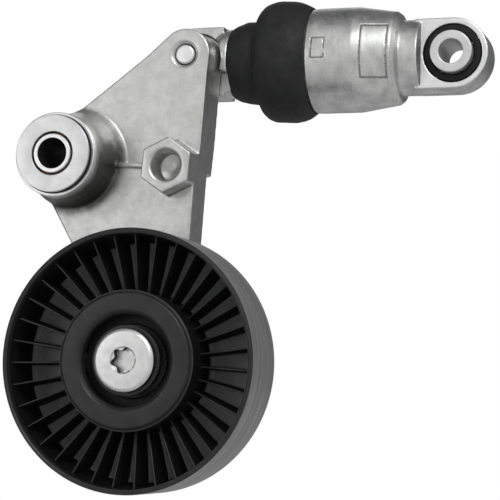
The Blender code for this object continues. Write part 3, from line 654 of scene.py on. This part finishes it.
def make_bolt():
    front, rear = span("pulley_bolt", Y)
    profile = [(front, 0.0), (front, HEAD_RADIUS - 1.1), (front + 1.0, HEAD_RADIUS),
               (front + HEAD_THICKNESS, HEAD_RADIUS), (front + HEAD_THICKNESS, SHANK_RADIUS),
               (rear - 1.0, SHANK_RADIUS), (rear, SHANK_RADIUS - 1.0), (rear, 0.0)]
    bolt = new_object("bolt", turned(rounded(profile, 0.5), 128, centre=PULLEY))
    lobes = []
    for step in range(LOBE_STEPS):
        angle = 2.0 * math.pi * step / LOBE_STEPS
        radius = LOBE_RADIUS + LOBE_HEIGHT * math.cos(6.0 * angle)
        lobes.append((PULLEY[0] + radius * math.cos(angle + LOBE_TURN),
                      PULLEY[1] + radius * math.sin(angle + LOBE_TURN)))
    cone = [(front - 1.0, 0.0), (front - 1.0, 5.5), (front + 0.6, 3.9), (front + 0.6, 0.0)]
    combine(bolt, [prism(lobes, front - 3.0, front + RECESS_DEPTH), turned(cone, 128, centre=PULLEY)],
            "DIFFERENCE")

    # The sides of the recess take painted shade, and the side of the zinc head takes the black oxide finish
    # as painted shade.
    def chooser(centre, normal):
        reach = math.hypot(centre.x - PULLEY[0], centre.z - PULLEY[1])
        if reach < 6.0 and centre.y < front + RECESS_DEPTH and abs(normal.y) < 0.5:
            return 2
        return int(reach > HEAD_RADIUS - 0.3 and centre.y > front + 0.9)

    return finish_piece(bolt, "pulley_bolt", "arm", [ZINC, BLACK_OXIDE, BORE_SHADE], chooser)


make_bolt()

# ---- damper ----------------------------------------------------------------------------------
def put_on_damper(made):
    """Move a piece that was made along the damper's own axis to its place."""
    made.data.transform(Matrix.Scale(MM, 4) @ DAMPER_PLACE @ Matrix.Scale(1.0 / MM, 4))


ROD_END_WIDTH, ROD_END_HEIGHT = 7.5, 12.2
SPOT_DEPTH, SPOT_RADIUS = 1.8, 10.0
SHOULDER_BOTTOM, SHOULDER_TOP = -22.0, 110.0


def make_rod_end():
    outline = arc((0.0, 0.0), ROD_END_HEIGHT, 270.0, 90.0, 60) + [
        (9.6, ROD_END_HEIGHT), (9.6, -ROD_END_HEIGHT)]
    made = new_object("rod_end", prism(outline, -ROD_END_WIDTH, ROD_END_WIDTH))
    seat = [(7.0, 0.0), (7.0, 11.0), (9.2, 12.3), (12.1, 12.3), (12.1, 10.6), (14.6, 10.6), (14.6, 11.6),
            (15.4, 11.6), (16.0, 11.0), (16.0, 0.0)]
    combine(made, [turned(seat, 96, "X")], "UNION")
    floor = -ROD_END_WIDTH + SPOT_DEPTH
    cleared = arc((0.0, 0.0), 30.0, SHOULDER_TOP, 360.0 + SHOULDER_BOTTOM, 12) + [(0.0, 0.0)]
    combine(made, [
        disc(SPOT_RADIUS, -ROD_END_WIDTH - 5.0, floor),
        prism(cleared, -ROD_END_WIDTH - 5.0, floor),
        disc(5.8, -ROD_END_WIDTH - 5.0, ROD_END_WIDTH + 5.0),
        disc(3.9, 8.7, 21.0, axis="X"),
    ], "DIFFERENCE")
    soften(made, 0.30, 4)
    put_on_damper(made)
    return finish_piece(made, "rod_end", "damper_rod", [CAST_DAMPER], smooth_all=True)


make_rod_end()


HOUSING_START = 27.2           # the housing's front edge, under the boot


def make_boot():
    outer = [(12.4, 12.6), (14.0, 13.4), (17.4, 14.6), (20.0, 14.8), (22.0, 14.8), (22.7, 16.6),
             (23.6, 18.9), (25.2, 20.3), (27.0, 21.1), (28.6, 21.4), (31.0, 21.5), (34.0, 21.5),
             (36.6, 21.1), (38.6, 20.4), (40.4, 19.3), (41.4, 18.6)]
    inner = [(41.4, 17.9), (36.0, 17.9), (28.0, 17.9), (23.6, 13.3), (19.0, 13.1), (14.9, 13.0),
             (14.1, 10.9), (12.4, 10.9)]
    boot = new_object("boot", turned(rounded(outer + inner, 0.5), 128, "X"))
    for vertex in boot.data.vertices:
        along, across, up = vertex.co / MM
        reach = math.hypot(across, up)
        if reach > 14.0:
            angle = math.atan2(up, across)
            uneven = 0.10 * math.sin(3.0 * angle + 0.5 * along) + 0.06 * math.sin(7.0 * angle - along)
            share = (reach - 0.16 + uneven) / reach
            vertex.co.y *= share
            vertex.co.z *= share
    put_on_damper(boot)
    finish_piece(boot, "rubber_boot", None, [RUBBER])
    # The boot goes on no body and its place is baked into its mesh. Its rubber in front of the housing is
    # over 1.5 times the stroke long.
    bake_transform(boot)


make_boot()

FRAME_GROOVE_DEPTH = 0.30
GROOVE_FRAMES = ((60.9, 70.3, -9.4, 9.4), (43.9, 49.0, -2.5, 5.1))   # near, far, low, high


def groove_frame(near, far, low, high):
    """A cutter for a blank rectangular frame sunk into the round body."""
    line = 0.55
    outer = [(near, low), (far, low), (far, high), (near, high)]
    frame_shape = new_object("tool", prism(outer, -30.0, 0.0))
    inner = [(near + line, low + line), (far - line, low + line), (far - line, high - line),
             (near + line, high - line)]
    combine(frame_shape, [prism(inner, -31.0, 1.0)], "DIFFERENCE")
    deep = FRAME_GROOVE_DEPTH
    core = [(near - 2.0, 0.0), (near - 2.0, housing_radius(near - 2.0) - deep),
            (far + 2.0, housing_radius(far + 2.0) - deep), (far + 2.0, 0.0)]
    combine(frame_shape, [turned(core, 128, "X")], "DIFFERENCE")
    return frame_shape


def housing_radius(along):
    if along <= 58.0:
        return 18.33
    return 18.3 - (along - 58.0) * 2.1 / 13.2


def make_housing():
    bore, tube = 14.4, 8.7
    profile = [(HOUSING_START, bore), (HOUSING_START, 16.6), (28.4, 17.6), (42.0, 17.6), (42.0, 18.2),
               (44.0, 18.35),
               (58.0, 18.3), (71.2, 16.2), (72.6, 15.2), (73.4, 13.1), (79.5, 13.1), (88.0, 12.3),
               (88.0, 0.0), (63.8, 0.0), (63.8, tube), (62.2, tube), (62.2, bore)]
    housing = new_object("housing", turned(profile, 144, "X"))
    eye_radius, half = 12.2, 7.2
    eye = arc((EYE_DISTANCE, 0.0), eye_radius, -90.0, 90.0, 72) + [(78.0, eye_radius), (78.0, -eye_radius)]
    combine(housing, [prism(eye, -half, half)], "UNION")
    flat = [(80.0, 20.0), (110.0, 20.0), (110.0, -20.0), (80.0, -20.0)]
    combine(housing, [prism(flat, -half - 10.0, -half), prism(flat, half, half + 10.0),
                      disc(10.1, -20.0, 20.0, (EYE_DISTANCE, 0.0))], "DIFFERENCE")
    for sizes in GROOVE_FRAMES:
        combine_object(housing, groove_frame(*sizes), "DIFFERENCE")
    soften(housing, 0.26, 3)

    def in_groove(centre):
        sunk = math.hypot(centre.y, centre.z) < housing_radius(centre.x) - 0.045
        return sunk and centre.y < 0.0 and any(
            near - 0.2 < centre.x < far + 0.2 and low - 0.2 < centre.z < high + 0.2
            for near, far, low, high in GROOVE_FRAMES)

    # Painted shade: the sunk frame grooves and the step walls of the flats take the darker rough cast.
    def chooser(centre, normal):
        if in_groove(centre):
            return 2
        if abs(normal.y) > 0.97 and centre.x > 79.5:
            return 1
        return 2 if normal.x > 0.55 and 78.8 < centre.x < 81.2 and abs(centre.y) > 7.0 else 0

    picks = [chooser(face.center / MM, face.normal) for face in housing.data.polygons]
    put_on_damper(housing)
    finish_piece(housing, "damper_housing", "damper_body", [CAST_DAMPER, MACHINED, CAST_ROUGH_SHADED],
                 smooth_all=True)
    housing.data.polygons.foreach_set("material_index", picks)


make_housing()

EYE_PLACE = (EYE.x, EYE.z)
EYE_BORE, EYE_RUBBER_BORE = 4.2, 7.5
ring_piece("eye_sleeve", "eye_mount", EYE_BORE, 0.35, WASHER, EYE_PLACE)
ring_piece("eye_rubber_bush", "damper_body", EYE_RUBBER_BORE, 0.45, SEAL, EYE_PLACE)


def make_spring():
    radius, wire, first, last, turns = 10.6, 1.4, 18.1, 60.1, 7.5
    steps, sides = 360, 14
    made = bmesh.new()
    rings = []
    for step in range(steps + 1):
        share = step / steps
        angle = 2.0 * math.pi * turns * share
        outward = Vector((0.0, math.cos(angle), math.sin(angle)))
        centre = outward * radius + Vector((first + (last - first) * share, 0, 0))
        rings.append([made.verts.new(
            centre + outward * (wire * math.cos(2.0 * math.pi * side / sides))
            + Vector((wire * math.sin(2.0 * math.pi * side / sides), 0, 0))) for side in range(sides)])
    for one, other in zip(rings, rings[1:]):
        for side in range(sides):
            after = (side + 1) % sides
            made.faces.new((one[side], one[after], other[after], other[side]))
    made.faces.new(rings[0])
    made.faces.new(rings[-1])
    spring = new_object("spring", made, DAMPER_PLACE)
    finish_piece(spring, "damper_spring", None, [BEARING])
    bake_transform(spring)


make_spring()

# ---- CAD nodes that stay ----------------------------------------------------------------------
for node, held in frame["nodes"].items():
    if not held.hide_render:
        held.data.materials.clear()
        held.data.materials.append(OF_SLOT[SLOT_OF[node]])

# ---- floor, light and camera --------------------------------------------------------------------
FLOOR_DROP = 85.0
FLOOR_RADIUS = 1500.0
floor_shape = bmesh.new()
bmesh.ops.create_circle(floor_shape, cap_ends=True, segments=96, radius=FLOOR_RADIUS)
floor_shape.transform(Matrix.Translation((0.0, 0.0, cad_box[0][2] / MM - FLOOR_DROP)))
floor = new_object("floor", floor_shape)
floor.data.materials.append(surface("pale_floor", (0.86, 0.86, 0.86), (0.84, 0.84, 0.84),
                                    metallic=0.0, roughness=0.8, spread=0.04, grain=20.0,
                                    depth=0.05, patch=300.0))


def area_light(name, place, target, size, watts):
    data = bpy.data.lights.new(name, "AREA")
    data.shape = "DISK"
    data.size = size
    data.energy = watts
    made = bpy.data.objects.new(name, data)
    made.location = Vector(place)
    made.rotation_euler = (Vector(target) - Vector(place)).to_track_quat("-Z", "Y").to_euler()
    bpy.context.scene.collection.objects.link(made)


LIGHT_TARGET = (0.06, -0.02, -0.03)
for name, place, size, watts in (
        ("key", (0.50, -0.70, 0.65), 0.50, 4.5),
        ("fill", (-0.60, -0.80, 0.10), 0.6, 1.2),
        ("rim", (0.85, 0.15, 0.35), 0.35, 0.7),
        ("back", (-0.3, 0.9, 0.6), 0.6, 0.7)):
    area_light(name, place, LIGHT_TARGET, size, watts)

world = bpy.data.worlds.new("studio")
world.use_nodes = True
bpy.context.scene.world = world
tree = world.node_tree
tree.nodes.clear()
output = tree.nodes.new("ShaderNodeOutputWorld")
seen = tree.nodes.new("ShaderNodeBackground")
seen.inputs["Color"].default_value = (1.0, 1.0, 1.0, 1.0)
seen.inputs["Strength"].default_value = 1.0
lit = tree.nodes.new("ShaderNodeBackground")
lit.inputs["Strength"].default_value = 0.75
direction = tree.nodes.new("ShaderNodeTexCoord")
facing = tree.nodes.new("ShaderNodeVectorMath")
facing.operation = "DOT_PRODUCT"
facing.inputs[1].default_value = (0.34, -0.90, 0.27)
tree.links.new(direction.outputs["Generated"], facing.inputs[0])
ramp = tree.nodes.new("ShaderNodeValToRGB")
ramp.color_ramp.interpolation = "EASE"
ramp.color_ramp.elements[0].position = 0.20
ramp.color_ramp.elements[0].color = (0.16, 0.16, 0.165, 1.0)
ramp.color_ramp.elements[1].position = 0.90
ramp.color_ramp.elements[1].color = (1.0, 1.0, 1.0, 1.0)
middle_tone = ramp.color_ramp.elements.new(0.55)
middle_tone.color = (0.13, 0.13, 0.135, 1.0)
shift = tree.nodes.new("ShaderNodeMapRange")
shift.inputs["From Min"].default_value = -1.0
shift.inputs["From Max"].default_value = 1.0
tree.links.new(facing.outputs["Value"], shift.inputs["Value"])
tree.links.new(shift.outputs["Result"], ramp.inputs["Fac"])
tree.links.new(ramp.outputs["Color"], lit.inputs["Color"])
ray = tree.nodes.new("ShaderNodeLightPath")
both = tree.nodes.new("ShaderNodeMixShader")
tree.links.new(ray.outputs["Is Camera Ray"], both.inputs["Fac"])
tree.links.new(lit.outputs["Background"], both.inputs[1])
tree.links.new(seen.outputs["Background"], both.inputs[2])
tree.links.new(both.outputs["Shader"], output.inputs["Surface"])
bpy.context.scene.view_settings.view_transform = "Standard"

AZIMUTH, ELEVATION = math.radians(16.90), math.radians(-5.77)
DISTANCE, LENS, SENSOR = 0.6026, 133.2, 36.0
TARGET = Vector((0.07095, -0.04195, -0.0354))
back = Vector((math.sin(AZIMUTH) * math.cos(ELEVATION), -math.cos(AZIMUTH) * math.cos(ELEVATION),
               math.sin(ELEVATION)))
camera_data = bpy.data.cameras.new("camera")
camera_data.lens = LENS
camera_data.sensor_width = SENSOR
camera_data.clip_start = 0.01
camera = bpy.data.objects.new("camera", camera_data)
camera.location = TARGET + back * DISTANCE
camera.rotation_euler = back.to_track_quat("Z", "Y").to_euler()
bpy.context.scene.collection.objects.link(camera)
bpy.context.scene.camera = camera
